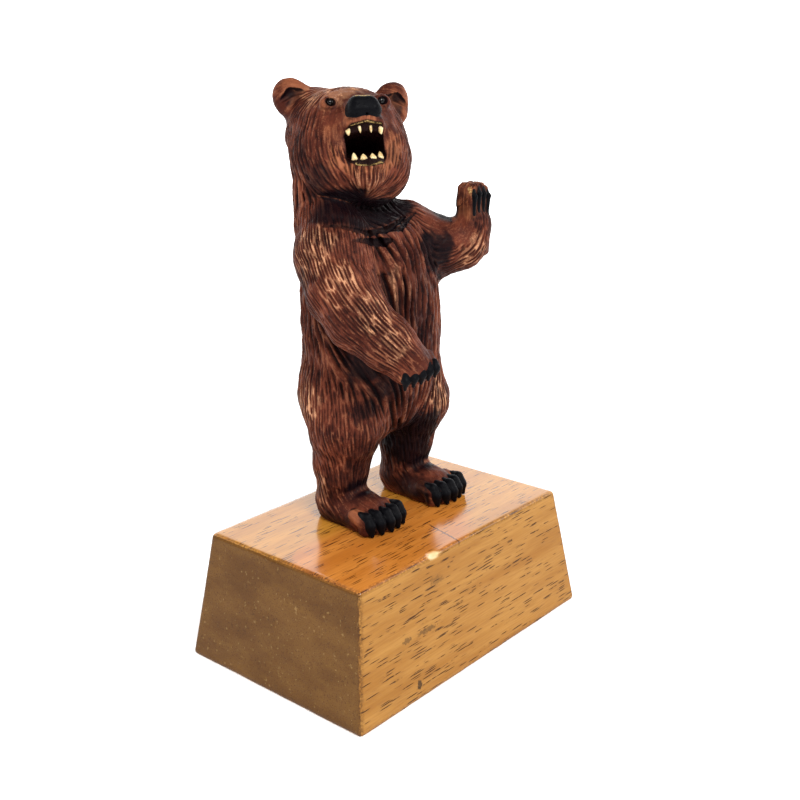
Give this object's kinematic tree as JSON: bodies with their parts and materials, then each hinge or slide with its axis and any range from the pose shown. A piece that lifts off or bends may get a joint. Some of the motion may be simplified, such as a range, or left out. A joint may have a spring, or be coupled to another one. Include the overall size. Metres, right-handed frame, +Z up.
{
  "type": "carved wooden bear figurine",
  "caption": "Carved wooden bear standing on its hind legs, one paw raised and mouth open, on a tapered wooden plinth; a free-standing ornament.",
  "frame": {"origin": "centre of the plinth's underside", "axes": "+Z up along the bear's height, -Y the way its chest faces, -X its right side"},
  "size_m": [0.114, 0.077, 0.1845],
  "materials": {
    "plinth_wood": "clear varnish, satin to gloss",
    "stained_wood": "dark stain rubbed through on the ridges, varnished",
    "eye_glass": "polished black",
    "wire": "drawn wire",
    "tooth": "pale, varnished",
    "screw_steel": "bright steel"
  },
  "bodies": {
    "root": {"plinth": "plinth_wood", "bear_carving": "stained_wood", "right_eye_bead": "eye_glass", "left_eye_bead": "eye_glass", "right_eye_shank": "wire", "left_eye_shank": "wire", "upper_right_canine": "tooth", "upper_right_incisor": "tooth", "upper_left_incisor": "tooth", "upper_left_canine": "tooth", "lower_right_canine": "tooth", "lower_right_incisor": "tooth", "lower_left_incisor": "tooth", "lower_left_canine": "tooth", "right_leg_screw": "screw_steel", "left_leg_screw": "screw_steel"}
  },
  "joints": []
}
